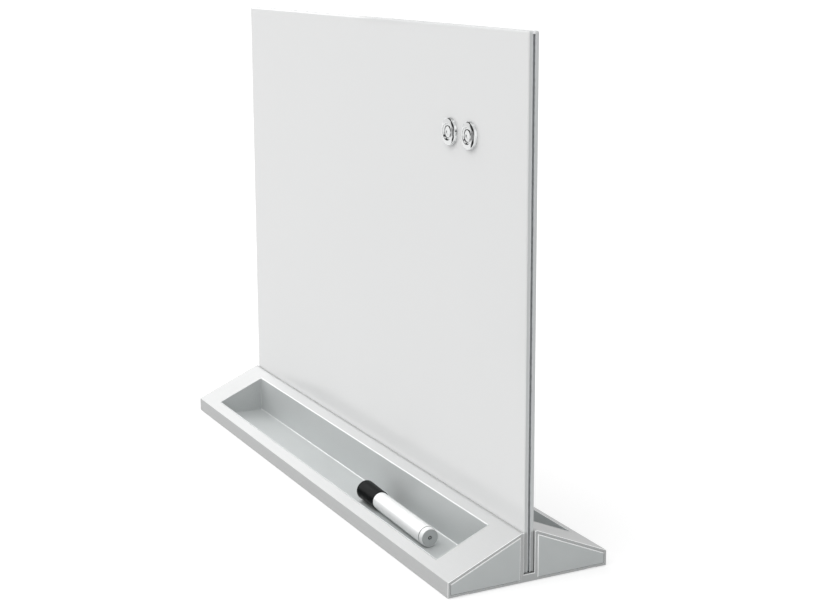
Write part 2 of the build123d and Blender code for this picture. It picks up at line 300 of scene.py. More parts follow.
@dataclass(frozen=True)
class SatinMetal(Finish):
    """Anodised or painted metal with a fine silky grain."""

    metal: float = 0.5
    pull: Pull = Pull.ALONG
    line: float = 0.5
    relief: float = 0.004

    def sockets(self, net: Net) -> dict:
        """Vary tone, gloss and relief with fine lines and a slow drift."""
        lines = net.noise(self.line, self.pull.value, detail=3.0, rough=0.6)
        grain = net.noise(0.25, detail=1.0)
        drift = net.noise(60.0, detail=1.0)
        tone = (lines * 0.5 + grain * 0.3 + drift * 0.2).ramp(0.3, 0.7)
        return {
            "Base Color": self.tint(net, tone, 0.965, 1.03),
            "Metallic": self.metal,
            "Roughness": self.rough + (lines - 0.5) * 0.12 + (drift - 0.5) * 0.08,
            "Normal": net.bump(lines * 0.7 + grain * 0.3, self.relief),
        }


@dataclass(frozen=True)
class SpeckledPaint(Finish):
    """Satin paint with the fine speckle of a powder coat."""

    speck: float = 0.35
    relief: float = 0.012

    def sockets(self, net: Net) -> dict:
        """Vary tone and relief by the speckle, and gloss slowly."""
        specks = net.cells(self.speck)
        cloud = net.noise(45.0, detail=2.0)
        fine = net.noise(self.speck * 2.0, detail=2.0)
        tone = (fine * 0.7 + cloud * 0.3).ramp(0.3, 0.7)
        return {
            "Base Color": self.tint(net, tone, 0.95, 1.04),
            "Metallic": 0.25,
            "Roughness": self.rough + (cloud - 0.5) * 0.1 + (fine - 0.5) * 0.1,
            "Normal": net.bump(specks.ramp(0.0, 0.7), self.relief),
        }


@dataclass(frozen=True)
class Moulded(Finish):
    """Moulded plastic with a fine spark-eroded texture."""

    grain: float = 0.22
    relief: float = 0.01

    def sockets(self, net: Net) -> dict:
        """Vary tone, gloss and relief by the mould's texture."""
        texture = net.noise(self.grain, detail=2.0, rough=0.6)
        cloud = net.noise(18.0, detail=1.0)
        tone = (texture * 0.6 + cloud * 0.4).ramp(0.3, 0.7)
        return {
            "Base Color": self.tint(net, tone, 0.965, 1.03),
            "Roughness": self.rough + (texture - 0.5) * 0.15 + (cloud - 0.5) * 0.06,
            "Normal": net.bump(texture, self.relief),
        }


@dataclass(frozen=True)
class Polished(Finish):
    """Smooth glossy plastic or plated metal with faint handling marks."""

    metal: float = 0.0
    wave: float = 0.0015
    gloss: float = 0.5

    def sockets(self, net: Net) -> dict:
        """Vary gloss by faint marks and let the surface wave very slightly."""
        marks = net.noise(3.0, (1.0, 1.0, 4.0), detail=4.0, rough=0.7)
        film = net.noise(12.0, detail=1.0)
        return {
            "Base Color": self.tint(net, film, 0.98, 1.02),
            "Metallic": self.metal,
            "Specular IOR Level": self.gloss,
            "Roughness": self.rough + marks.ramp(0.5, 0.8) * 0.06 + film * 0.03,
            "Normal": net.bump(film, self.wave),
        }


@dataclass(frozen=True)
class WritingGlass(Finish):
    """Glass painted white on its back, its front faintly wiped."""

    def sockets(self, net: Net) -> dict:
        """Vary the gloss by faint wiping marks and the white by a very slow drift."""
        wiped = net.noise(30.0, (1.0, 1.0, 0.25), detail=4.0, rough=0.65)
        drift = net.noise(180.0, detail=1.0)
        return {
            "Base Color": self.tint(net, drift, 0.995, 1.005),
            "Roughness": self.rough + wiped.ramp(0.45, 0.8) * 0.05,
            "Specular IOR Level": 0.2,
            "IOR": 1.52,
        }


@dataclass(frozen=True)
class GroundEdge(Finish):
    """The ground and polished edge of a glass panel, with a painted shade where it stands in the
    channel.
    """

    channel_top: float = 44.0
    channel_shade: float = 0.6

    def sockets(self, net: Net) -> dict:
        """Vary tone and gloss by the fine scratches of grinding, and darken the tone below the
        channel's top as painted shade.
        """
        scratches = net.noise(0.6, (1.0, 4.0, 0.15), detail=3.0, rough=0.7)
        above = net.height().ramp((self.channel_top - 1.5) * MM, (self.channel_top + 1.5) * MM)
        # Painted shade: the edge is darkened below the channel's top, where the channel would shade
        # it.
        painted_shade_colour = shade(self.colour, self.channel_shade)
        ground = self.tint(net, scratches, 0.94, 1.04)
        return {
            "Base Color": net.mix(above, painted_shade_colour, ground),
            "Roughness": self.rough + (scratches - 0.5) * 0.2,
            "Normal": net.bump(scratches, 0.004),
            "IOR": 1.52,
        }


@dataclass(frozen=True)
class Fibrous(Finish):
    """Felt or packed fibre."""

    hair: float = 0.25

    def sockets(self, net: Net) -> dict:
        """Vary tone and relief by tangled hairs."""
        hairs = net.noise(self.hair, (1.0, 1.0, 3.0), detail=4.0, rough=0.75)
        tufts = net.noise(self.hair * 8.0, detail=2.0)
        tone = (hairs * 0.7 + tufts * 0.3).ramp(0.3, 0.7)
        return {
            "Base Color": self.tint(net, tone, 0.7, 1.35),
            "Roughness": self.rough + (hairs - 0.5) * 0.1,
            "Normal": net.bump(hairs, 0.08),
            "Sheen Weight": 0.35,
            "Sheen Roughness": 0.5,
        }


@dataclass(frozen=True)
class Rubber(Finish):
    """Dull rubber with a pebbled skin."""

    def sockets(self, net: Net) -> dict:
        """Vary tone, gloss and relief by the pebbles."""
        pebbles = net.cells(0.6)
        bloom = net.noise(9.0, detail=3.0)
        return {
            "Base Color": self.tint(net, bloom, 0.8, 1.4),
            "Roughness": self.rough + (bloom - 0.5) * 0.15,
            "Normal": net.bump(pebbles.ramp(0.0, 0.6), 0.03),
        }


@dataclass(frozen=True)
class Spangled(Finish):
    """Zinc-coated steel with its crystal spangle."""

    def sockets(self, net: Net) -> dict:
        """Vary tone and gloss from crystal to crystal."""
        crystals = net.cells(4.0)
        fine = net.noise(0.8, detail=3.0)
        tone = (crystals * 0.7 + fine * 0.3).ramp(0.1, 0.7)
        return {
            "Base Color": self.tint(net, tone, 0.85, 1.1),
            "Metallic": 1.0,
            "Roughness": self.rough + (tone - 0.5) * 0.15,
        }


ANODISED = SatinMetal("satin_anodised_silver", (0.45, 0.455, 0.455), 0.42, metal=0.3)
# Painted highlight: a near-white colour on small roundings, standing in for the light that they
# catch.
PAINTED_HIGHLIGHT = SatinMetal("painted_highlight_edge", (0.93, 0.94, 0.94), 0.35, metal=0.2)
# Painted highlight on the tray's fold and on its rim at the pocket.
TRAY_PAINTED_HIGHLIGHT = SatinMetal("painted_highlight_tray_edge", (0.68, 0.69, 0.69), 0.35, metal=0.3)
SAWN_END = SatinMetal("sawn_end", (0.40, 0.41, 0.41), 0.45, metal=0.3, pull=Pull.NONE)
TRAY_PAINT = SpeckledPaint("satin_tray_paint", (0.555, 0.575, 0.575), 0.45)
CAP_SILVER = Moulded("moulded_silver_plastic", (0.505, 0.53, 0.53), 0.5)
WHITE_GLASS = WritingGlass("white_writing_glass", (0.793, 0.798, 0.798), 0.1)
GLASS_EDGE = GroundEdge("ground_glass_edge", (0.585, 0.605, 0.605), 0.25)
STEEL = Spangled("zinc_coated_steel", (0.55, 0.57, 0.58), 0.4)
CORE = Moulded("grey_core_sheet", (0.5, 0.51, 0.51), 0.6)
SPACER = SatinMetal("satin_spacer", (0.66, 0.67, 0.67), 0.35, metal=0.9)
CHROME = Polished("polished_chrome", (0.69, 0.70, 0.70), 0.05, metal=1.0)
NICKEL = Polished("nickel_plate", (0.62, 0.61, 0.58), 0.18, metal=1.0)
CLEAR_PAD = Rubber("grey_pad", (0.30, 0.31, 0.31), 0.5)
WHITE_PLASTIC = Polished("glossy_white_plastic", (0.84, 0.85, 0.85), 0.2)
BLACK_PLASTIC = Polished("glossy_black_plastic", (0.007, 0.008, 0.008), 0.28, gloss=0.02)
# Painted shade in the marker's recesses.
PAINTED_RECESS_SHADE = Moulded("painted_recess_shade", (0.09, 0.095, 0.095), 0.6)
# Grey that is painted shade on the marker's white end button, and the seal cup's own grey.
GREY_SEAL_AND_SHADED_BUTTON = Moulded("grey_disc_plastic", (0.45, 0.47, 0.47), 0.4)
LINER_FELT = Fibrous("grey_liner_felt", (0.45, 0.455, 0.455), 0.9)
NIB_FELT = Fibrous("black_nib_felt", (0.02, 0.02, 0.02), 0.9)
FIBRE = Fibrous("inked_fibre", (0.04, 0.04, 0.04), 0.85)
PAD_RUBBER = Rubber("black_pad_rubber", (0.025, 0.025, 0.025), 0.75)


# ---------------------------------------------------------------------------------------
# Mesh shapes
# ---------------------------------------------------------------------------------------
def is_sharp(edge: bmesh.types.BMEdge, least: float = 25.0) -> bool:
    """Tell whether two faces meet at an edge with more than this many degrees between them."""
    return edge.is_manifold and edge.calc_face_angle() > math.radians(least)


def corners(test: PointTest) -> PartTest:
    """Make a test of an edge or a face from a test that all its corners have to pass."""
    return lambda part: all(test(corner.co) for corner in part.verts)


def stepped(radius: float, height: float, *changes: float) -> list[Span]:
    """Make an outline of square steps for a turning.

    Args:
        radius: The first point's radius.
        height: The first point's height.
        changes: New radii and new heights in turn, a radius first.

    Returns:
        The outline's (radius, height) points.
    """
    points = [(radius, height)]
    for count, change in enumerate(changes):
        radius, height = (radius, change) if count % 2 else (change, height)
        points.append((radius, height))
    return points


class Shape:
    """A mesh under construction, in millimetres, worked with Blender's mesh operators."""

    def __init__(self) -> None:
        """Start an empty shape."""
        self.mesh = bmesh.new()

    @classmethod
    def slab(cls, side: Side, half: float, away: Span, height: Span) -> "Shape":
        """Make a box on one side of the middle plane.

        Args:
            side: The side.
            half: Half its length along X.
            away: The distances of its near and its far face from the middle plane.
            height: Its bottom and its top.

        Returns:
            The new shape.
        """
        shape = cls()
        first, last = sorted(side.value * distance for distance in away)
        low, high = Vector((-half, first, height[0])), Vector((half, last, height[1]))
        place = Matrix.Translation((low + high) / 2) @ Matrix.Diagonal((*(high - low), 1.0))
        bmesh.ops.create_cube(shape.mesh, size=1.0, matrix=place)
        return shape

    @classmethod
    def sheet(cls, outline: Outline, along: float) -> "Shape":
        """Make one flat face from an outline of (y, z) points at a place along X."""
        shape = cls()
        shape.mesh.faces.new([shape.mesh.verts.new((along, y, z)) for y, z in outline])
        return shape

    @classmethod
    def bar(cls, outline: Outline, half: float) -> "Shape":
        """Make a bar along X from an outline of (y, z) points and half its length."""
        shape = cls.sheet(outline, -half)
        shape.push(list(shape.mesh.faces), 2 * half, keep=True)
        return shape.mend()

    @classmethod
    def turning(cls, outline: Outline, steps: int) -> "Shape":
        """Spin an outline of (radius, height) points about Z.

        Args:
            outline: The points in order; it is closed unless both its ends are on the axis.
            steps: How many faces go round.

        Returns:
            The new shape.
        """
        shape = cls()
        points = [shape.mesh.verts.new((radius, 0.0, height)) for radius, height in outline]
        open_ended = outline[0][0] == 0.0 and outline[-1][0] == 0.0
        following = points[1:] if open_ended else points[1:] + points[:1]
        edges = [shape.mesh.edges.new(pair) for pair in zip(points, following)]
        bmesh.ops.spin(
            shape.mesh, geom=points + edges, cent=(0, 0, 0), axis=(0, 0, 1),
            angle=2 * math.pi, steps=steps, use_merge=True,
        )
        return shape.mend()

    def mend(self) -> "Shape":
        """Merge doubled points and turn every face outwards."""
        bmesh.ops.remove_doubles(self.mesh, verts=list(self.mesh.verts), dist=1e-4)
        bmesh.ops.dissolve_degenerate(self.mesh, edges=list(self.mesh.edges), dist=1e-5)
        bmesh.ops.recalc_face_normals(self.mesh, faces=list(self.mesh.faces))
        return self

    def push(self, faces: list, along: float, keep: bool = False) -> list:
        """Extrude faces along X.

        Args:
            faces: The faces.
            along: How far they go; less than 0 is to the left.
            keep: Whether the faces also stay where they were, to close a loose sheet.

        Returns:
            The moved faces.
        """
        grown = bmesh.ops.extrude_face_region(self.mesh, geom=faces)["geom"]
        moved = [item for item in grown if isinstance(item, bmesh.types.BMVert)]
        bmesh.ops.translate(self.mesh, vec=(along, 0.0, 0.0), verts=moved)
        if not keep:
            bmesh.ops.delete(self.mesh, geom=faces, context="FACES_ONLY")
        return [item for item in grown if isinstance(item, bmesh.types.BMFace)]

    def inset(self, faces: list, width: float) -> list:
        """Inset faces evenly and return the inner faces."""
        bmesh.ops.inset_region(
            self.mesh, faces=faces, thickness=width, use_even_offset=True, use_boundary=True
        )
        return faces

    def trim(self, point: Point, outward: Vector) -> "Shape":
        """Cut off what lies beyond a plane and close the cut.

        Args:
            point: A point of the plane.
            outward: The plane's normal, towards what is cut off.

        Returns:
            This shape.
        """
        bmesh.ops.bisect_plane(
            self.mesh, geom=[*self.mesh.verts, *self.mesh.edges, *self.mesh.faces],
            plane_co=point, plane_no=outward, clear_outer=True,
        )
        bmesh.ops.holes_fill(self.mesh, edges=list(self.mesh.edges), sides=0)
        return self.mend()

    def ease(
        self, width: float, segments: int, chosen: PartTest, finish: int | None = None
    ) -> "Shape":
        """Round the edges that a test picks.

        Args:
            width: How far the rounding reaches from the edge.
            segments: How many faces it has.
            chosen: The test.
            finish: The number of the rounding's own finish, if it has one.

        Returns:
            This shape.
        """
        made = bmesh.ops.bevel(
            self.mesh, geom=[edge for edge in self.mesh.edges if chosen(edge)], offset=width,
            offset_type="OFFSET", segments=segments, profile=0.5, affect="EDGES",
            clamp_overlap=True, material=-1,
        )
        if finish is not None:
            for face in made["faces"]:
                face.material_index = finish
        return self

    def round_rings(self, *rings: Ring) -> "Shape":
        """Round rings of a turning.

        Args:
            rings: Each ring's radius and height, and its rounding's width and number of faces.

        Returns:
            This shape.
        """
        for radius, height, width, segments in rings:
            self.ease(width, segments, corners(
                lambda point: abs(point.xy.length - radius) < NEAR and abs(point.z - height) < NEAR
            ))
        return self

    def paint(self, finish: int, chosen: PartTest) -> "Shape":
        """Give faces a finish.

        Args:
            finish: The finish's number.
            chosen: The test that picks the faces.

        Returns:
            This shape.
        """
        for face in self.mesh.faces:
            if chosen(face):
                face.material_index = finish
        return self

    def carve(self, *cutters: "Shape") -> "Shape":
        """Cut other shapes out of this one.

        Args:
            cutters: The other shapes, in the order in which they cut.

        Returns:
            This shape.
        """
        blank = self.loose("blank")
        tools = [cutter.loose("tool") for cutter in cutters]
        for tool in tools:
            cut = blank.modifiers.new("cut", "BOOLEAN")
            cut.operation, cut.solver, cut.object = "DIFFERENCE", "EXACT", tool
        graph = bpy.context.evaluated_depsgraph_get()
        result = bpy.data.meshes.new_from_object(blank.evaluated_get(graph))
        self.mesh.clear()
        self.mesh.from_mesh(result)
        for used in (result, blank.data, *(tool.data for tool in tools)):
            bpy.data.meshes.remove(used)
        return self.mend()

    def loose(self, name: str) -> bpy.types.Object:
        """Put a copy of the mesh in the scene as it is.

        Args:
            name: The name of the object and its mesh.

        Returns:
            The new object.
        """
        data = bpy.data.meshes.new(name)
        self.mesh.to_mesh(data)
        thing = bpy.data.objects.new(name, data)
        bpy.context.scene.collection.objects.link(thing)
        return thing

    def moved(self, place: Matrix) -> "Shape":
        """Move the whole shape by a matrix."""
        bmesh.ops.transform(self.mesh, matrix=place, verts=list(self.mesh.verts))
        return self

    def finished(self, name: str, *materials: bpy.types.Material) -> bpy.types.Object:
        """Scale the shape to metres and make its smooth-shaded object.

        Args:
            name: The object's name.
            materials: Its materials, in the order of its faces' numbers.

        Returns:
            The new object, with its place in its mesh.
        """
        self.moved(Matrix.Scale(MM, 4))
        thing = self.loose(name)
        self.mesh.free()
        for material in materials:
            thing.data.materials.append(material)
        thing.data.shade_smooth()
        thing.data.set_sharp_from_angle(angle=math.radians(CREASE))
        weigh = thing.modifiers.new("flat faces stay flat", "WEIGHTED_NORMAL")
        weigh.keep_sharp, weigh.weight = True, 80
        return thing


def settle(
    shape: Shape, name: str, body: str, slot: str, node: str, *finishes: Finish
) -> bpy.types.Object:
    """Finish a piece, hang it on its body and hide the CAD node that it stands for.

    Args:
        shape: Its shape, in millimetres.
        name: Its name.
        body: The body that it rides on.
        slot: Not used.
        node: The CAD node that it stands for.
        finishes: Its finishes, in the order of its faces' numbers.

    Returns:
        The new object.
    """
    thing = shape.finished(name, *[finish.material() for finish in finishes])
    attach(thing, body)
    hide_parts(node)
    log.info("%s: %d faces, rides on %s", name, len(thing.data.polygons), body)
    return thing


def dress(node: str, finish: Finish) -> None:
    """Give a CAD node that is shown as it is its finish.

    Args:
        node: The node's name.
        finish: The finish.
    """
    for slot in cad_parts[node].material_slots:
        slot.material = finish.material()
    log.info("%s: CAD shape in %s", node, finish.name)


# ---------------------------------------------------------------------------------------
# Base
# ---------------------------------------------------------------------------------------
@dataclass
class Base:
    """The extruded base with its trays, end caps, liners, pads and feet."""

    half_width: float = 300.0
    half_depth: float = 77.3
    underside: float = 0.5
    lip: float = 14.2
    apex: float = 44.2
    channel_floor: float = 7.5
    channel_half: float = 5.3
    land_edge: float = 7.9
    edge_round: float = 0.4
    mouth_round: float = 0.2
    opening_round: float = 0.15
    hollow_floor: float = 2.7
    lip_wall: float = 2.4
    slope_wall: float = 2.3
    groove_middle: float = 62.3
    groove_half: float = 5.2
    groove_top: float = 1.1
    cut_past: float = 20.0
    cut_bottom: float = -1.0
    cut_top: float = 80.0
    tray_half: float = 260.0
    tray_back: float = 17.5
    tray_front: float = 66.5
    tray_floor: float = 3.5
    tray_wall: float = 1.0
    tray_fit: float = 0.1
    tray_fold: float = 0.8
    rim_proud: float = 0.2
    rim_round: float = 0.15
    rim_highlight_round: float = 0.6
    cap_gap: float = 0.45
    cap_gap_depth: float = 1.0
    cap_fit: float = 0.1
    cap_plate: float = 3.0
    cap_reach: float = 12.0
    cap_skirt: float = 1.8
    cap_round: float = 0.2
    cap_highlight_round: float = 0.8

    @property
    def slope(self) -> float:
        """How much the slope rises for each millimetre towards the board."""
        return (self.apex - self.lip) / (self.half_depth - self.land_edge)

    def slope_height(self, away: float) -> float:
        """Give the slope's height at a distance from the middle plane."""
        return self.lip + (self.half_depth - away) * self.slope

    def above_slope(self, point: Vector) -> float:
        """Tell how high a point lies above the slope."""
        return point.z - self.slope_height(abs(point.y))

    def at_end(self, point: Vector) -> bool:
        """Tell whether a point lies on an end face."""
        return abs(point.x) > self.half_width - NEAR

    def hollow(self, side: Side) -> Outline:
        """Give the outline of one wing's hollow.

        Args:
            side: The wing's side.

        Returns:
            The outline's (y, z) points.
        """
        drop = self.slope_wall * math.hypot(1.0, self.slope)
        outer = self.half_depth - self.lip_wall
        points = (
            (self.land_edge, self.hollow_floor),
            (outer, self.hollow_floor),
            (outer, self.slope_height(outer) - drop),
            (self.land_edge, self.apex - drop),
        )
        return [(side.value * away, height) for away, height in points]

    def build(self) -> None:
        """Build and dress every piece of the base."""
        self.build_profile()
        for side in Side:
            self.build_tray(side)
            for end in End:
                self.build_cap(side, end)
        dress("channel_liner_front", LINER_FELT)
        dress("channel_liner_rear", LINER_FELT)
        dress("setting_pads", PAD_RUBBER)
        dress("non_slip_feet", PAD_RUBBER)

    def build_profile(self) -> None:
        """Extrude the section, cut its hollows and openings and ease its edges."""
        half = [
            (self.half_depth, self.underside),
            (self.half_depth, self.lip),
            (self.land_edge, self.apex),
            (self.channel_half, self.apex),
            (self.channel_half, self.channel_floor),
        ]
        outline = half + [(-away, height) for away, height in reversed(half)]
        shape = Shape.bar(outline, self.half_width)

        def outside(edge: bmesh.types.BMEdge) -> bool:
            """Tell whether an edge isn't one that runs along the channel's floor."""
            first, last = (end.co for end in edge.verts)
            return abs(first.x - last.x) < NEAR or abs(first.z - self.channel_floor) > NEAR

        shape.ease(self.edge_round, 4, outside).mend()
        # Only the rounded edges of the two ends lean along X; they get a painted highlight.
        shape.paint(1, lambda face: ACROSS < abs(face.normal.x) < ALONG)
        beyond = self.half_width + self.cut_past
        fit = self.tray_wall + self.tray_fit
        reach, near, far = self.tray_half + fit, self.tray_back - fit, self.tray_front + fit
        groove = (self.groove_middle - self.groove_half, self.groove_middle + self.groove_half)
        cutters = []
        for side in Side:
            cutters += [
                Shape.bar(self.hollow(side), beyond),
                Shape.slab(side, reach, (near, far), (self.tray_floor, self.cut_top)),
                Shape.slab(side, beyond, groove, (self.cut_bottom, self.groove_top)),
            ]
        shape.carve(*cutters)

        @corners
        def at_mouth(point: Vector) -> bool:
            """Tell whether a point is where a wing's hollow breaks an end face."""
            return self.at_end(point) and point.z > self.hollow_floor - NEAR

        @corners
        def at_opening(point: Vector) -> bool:
            """Tell whether a point is where an opening breaks the slope's outer face."""
            across = near - NEAR < abs(point.y) < far + NEAR
            return across and abs(point.x) < reach + NEAR and abs(self.above_slope(point)) < NEAR

        # The rounding where a hollow meets an end face gets a painted highlight.
        shape.ease(self.mouth_round, 2, lambda edge: is_sharp(edge) and at_mouth(edge), 1)
        shape.ease(self.opening_round, 2, lambda edge: is_sharp(edge) and at_opening(edge))
        shape.paint(2, corners(self.at_end))
        settle(
            shape, "base_shell", "base", "anodised_profile", "base_profile",
            ANODISED, PAINTED_HIGHLIGHT, SAWN_END,
        )

    def build_tray(self, side: Side) -> None:
        """Build one pen tray: a box cut off along the slope, then hollowed from above.

        Args:
            side: The tray's side.
        """
        outer = (self.tray_back - self.tray_wall, self.tray_front + self.tray_wall)
        half = self.tray_half + self.tray_wall
        shape = Shape.slab(side, half, outer, (self.hollow_floor, self.cut_top))
        lean = Vector((0.0, side.value * self.slope, 1.0)).normalized()
        shape.trim((0.0, side.value * self.half_depth, self.lip + self.rim_proud), lean)
        inner = (self.tray_back, self.tray_front)
        pocket = Shape.slab(side, self.tray_half, inner, (self.tray_floor, self.cut_top))
        bottom = self.tray_floor + NEAR
        pocket.ease(self.tray_fold, 4, lambda edge: min(v.co.z for v in edge.verts) < bottom)

        def in_fold(face: bmesh.types.BMFace) -> bool:
            """Tell whether a face is in the fold between the floor and the wall at the board, which
            gets a painted highlight.
            """
            middle = face.calc_center_median()
            near = abs(middle.y) < self.tray_back + self.tray_fold
            return near and middle.z < self.tray_floor + self.tray_fold

        # The fold gets a painted highlight in the lighter tray finish.
        shape.carve(pocket.paint(1, in_fold))

        @corners
        def at_rim(point: Vector) -> bool:
            """Tell whether a point is on the rim's slanting face."""
            return abs(self.above_slope(point) - self.rim_proud) < NEAR

        @corners
        def at_pocket(point: Vector) -> bool:
            """Tell whether a point is on the pocket's walls or between them."""
            across = self.tray_back - NEAR < abs(point.y) < self.tray_front + NEAR
            return across and abs(point.x) < self.tray_half + NEAR

        def rim_edge(edge: bmesh.types.BMEdge, inside: bool) -> bool:
            """Pick the rim's edges at the pocket, or its others."""
            return is_sharp(edge) and at_rim(edge) and at_pocket(edge) == inside

        shape.ease(self.rim_round, 2, lambda edge: rim_edge(edge, False))
        # The rim's edges at the pocket get a painted highlight.
        shape.ease(self.rim_highlight_round, 3, lambda edge: rim_edge(edge, True), 1)
        settle(
            shape, f"{side.word}_pen_tray", "base", "tray_metal", f"{side.word}_tray",
            TRAY_PAINT, TRAY_PAINTED_HIGHLIGHT,
        )

    def build_cap(self, side: Side, end: End) -> None:
        """Build one end cap: a face plate within a shadow gap, on a hollow skirt.

        Args:
            side: The side of the wing that it closes.
            end: The end of the wing that it closes.
        """
        outward = end.value
        root = self.half_width - self.cap_gap_depth
        shape = Shape.sheet(self.hollow(side), outward * root)
        sheet = shape.inset(list(shape.mesh.faces), self.cap_fit)
        spare = [face for face in shape.mesh.faces if face not in sheet]
        bmesh.ops.delete(shape.mesh, geom=spare, context="FACES")
        back = shape.push(sheet, outward * (self.cap_gap_depth - self.cap_reach), keep=True)
        inside = shape.inset(back, self.cap_skirt)
        shape.push(inside, outward * (self.cap_reach - self.cap_plate))
        shape.mend()
        at_root = corners(lambda point: abs(abs(point.x) - root) < NEAR)
        front = [face for face in shape.mesh.faces if at_root(face)]
        plate = shape.inset(front, self.cap_gap - self.cap_fit)
        shape.push(plate, outward * self.cap_gap_depth)
        shape.mend()

        def face_edge(edge: bmesh.types.BMEdge, highlighted: bool) -> bool:
            """Pick the plate's edges that get a painted highlight, at the slope and the channel, or
            its others.
            """
            high = max(v.co.z for v in edge.verts) > self.lip
            return is_sharp(edge) and corners(self.at_end)(edge) and high == highlighted

        # The plate's upper edges get a painted highlight.
        shape.ease(self.cap_highlight_round, 2, lambda edge: face_edge(edge, True), 1)
        shape.ease(self.cap_round, 2, lambda edge: face_edge(edge, False))
        settle(
            shape, f"wing_plug_{side.word}_{end.word}", "base", "cap_plastic",
            f"end_cap_{side.word}_{end.word}", CAP_SILVER, PAINTED_HIGHLIGHT,
        )


# ---------------------------------------------------------------------------------------
# Board
# ---------------------------------------------------------------------------------------
@dataclass
class Board:
    """Two white glass panels on steel sheets, either side of a grey core.

    Edges that bend by at least least_bend degrees are rounded. The paint shows through the
    faces whose normal lies along Y by more than paint_seen.
    """

    half_width: float = 299.0
    bottom: float = 8.0
    top: float = 458.0
    face: float = 4.8
    glass: float = 3.2
    corner: float = 1.8
    bevel_width: float = 1.4
    bevel_depth: float = 0.5
    edge_round: float = 0.15
    least_bend: float = 15.0
    paint_seen: float = 0.6

    def build(self) -> None:
        """Build and dress every piece of the board."""
        for side in Side:
            self.build_panel(side)
            dress(f"{side.word}_steel_sheet", STEEL)
        dress("core_sheet", CORE)
        dress("top_spacer_strip", SPACER)

    def build_panel(self, side: Side) -> None:
        """Build one glass panel with rounded corners and a polished bevel on its face.

        Args:
            side: The panel's side.
        """
        across = (self.face - self.glass, self.face)
        shape = Shape.slab(side, self.half_width, across, (self.bottom, self.top))

        def through(edge: bmesh.types.BMEdge) -> bool:
            """Tell whether an edge runs through the glass from face to face."""
            return abs(edge.verts[0].co.y - edge.verts[1].co.y) > self.glass / 2

        shape.ease(self.corner, 6, through)
        outer = side.value * self.face
        at_front = corners(lambda point: abs(point.y - outer) < NEAR)
        front = [face for face in shape.mesh.faces if at_front(face)]
        inner = {vert for face in shape.inset(front, self.bevel_width) for vert in face.verts}
        rim = [v for v in shape.mesh.verts if abs(v.co.y - outer) < NEAR and v not in inner]
        bmesh.ops.translate(shape.mesh, vec=(0.0, -side.value * self.bevel_depth, 0.0), verts=rim)
        shape.ease(self.edge_round, 2, lambda edge: is_sharp(edge, self.least_bend))
        shape.paint(1, lambda face: abs(face.normal.y) <= self.paint_seen)
        settle(
            shape, f"{side.word}_writing_panel", "board", "white_glass",
            f"{side.word}_glass_panel", WHITE_GLASS, GLASS_EDGE,
        )


# ---------------------------------------------------------------------------------------
# Magnets
# ---------------------------------------------------------------------------------------
@dataclass
class Magnet:
    """A chromed shell with a sunk middle over a disc magnet, with a thin pad on the glass."""

    end: End
    across: float
    height: float = 366.0
    back: float = -4.85
    radius: float = 12.5
    rise: float = 3.6
    face_radius: float = 11.9
    face_height: float = 2.7
    shoulder_radius: float = 9.2
    shoulder_height: float = 3.45
    crest_radius: float = 7.6
    dish_radius: float = 6.6
    dish_height: float = 2.1
    boss_foot: float = 5.5
    boss_radius: float = 4.9
    boss_height: float = 2.8
    dimple_radius: float = 3.3
    dimple_flat: float = 1.65
    dimple_edge: float = 2.45
    dimple_floor: float = 2.35
    base_lift: float = 0.1
    fit: float = 0.1
    pad_radius: float = 11.0
    pad_rise: float = 0.3
    disc_radius: float = 8.9
    disc_rise: float = 1.0
    steps: int = 96

    @property
    def body(self) -> str:
        """The body that the magnet is."""
        return f"magnet_{self.end.word}"

    def place(self) -> Matrix:
        """Give the matrix that stands the turned shapes on the glass."""
        spot = Matrix.Translation((self.across, self.back, self.height))
        return spot @ Matrix.Rotation(math.radians(90), 4, "X")

    def build(self) -> bpy.types.Object:
        """Build and dress the pad, the disc and the shell, and return the shell."""
        word = self.end.word
        pad = Shape.turning(stepped(0.0, 0.0, self.pad_radius, self.pad_rise, 0.0), self.steps)
        pad.round_rings((self.pad_radius, 0.0, 0.1, 2)).moved(self.place())
        settle(pad, f"soft_pad_{word}", self.body, "clear_pad", f"magnet_pad_{word}", CLEAR_PAD)
        dress(f"magnet_disc_{word}", NICKEL)
        return self.build_shell()

    def build_shell(self) -> bpy.types.Object:
        """Spin the dished shell, round its rim, its dish and its boss, and return it."""
        under = self.pad_rise + self.disc_rise + self.fit
        pad_hole, disc_hole = self.pad_radius + self.fit, self.disc_radius + self.fit
        top = [
            (0.0, self.dimple_floor),
            (self.dimple_flat, self.dimple_edge),
            (self.dimple_radius, self.boss_height),
            (self.boss_radius, self.boss_height),
            (self.boss_foot, self.dish_height),
            (self.dish_radius, self.dish_height),
            (self.crest_radius, self.rise),
            (self.shoulder_radius, self.shoulder_height),
            (self.face_radius, self.face_height),
        ]
        bottom = stepped(
            self.radius, self.base_lift, pad_hole, self.pad_rise, disc_hole, under, 0.0
        )
        shape = Shape.turning(top + bottom, self.steps).round_rings(
            (self.shoulder_radius, self.shoulder_height, 1.2, 6),
            (self.face_radius, self.face_height, 0.8, 6),
            (self.crest_radius, self.rise, 0.3, 4),
            (self.dish_radius, self.dish_height, 0.35, 3),
            (self.boss_radius, self.boss_height, 0.35, 4),
            (self.dimple_flat, self.dimple_edge, 0.8, 3),
            (self.dimple_radius, self.boss_height, 0.35, 3),
            (self.radius, self.base_lift, 0.12, 2),
        )
        word = self.end.word
        return settle(
            shape.moved(self.place()), f"chrome_shell_{word}", self.body, "bright_chrome",
            f"magnet_shell_{word}", CHROME,
        )


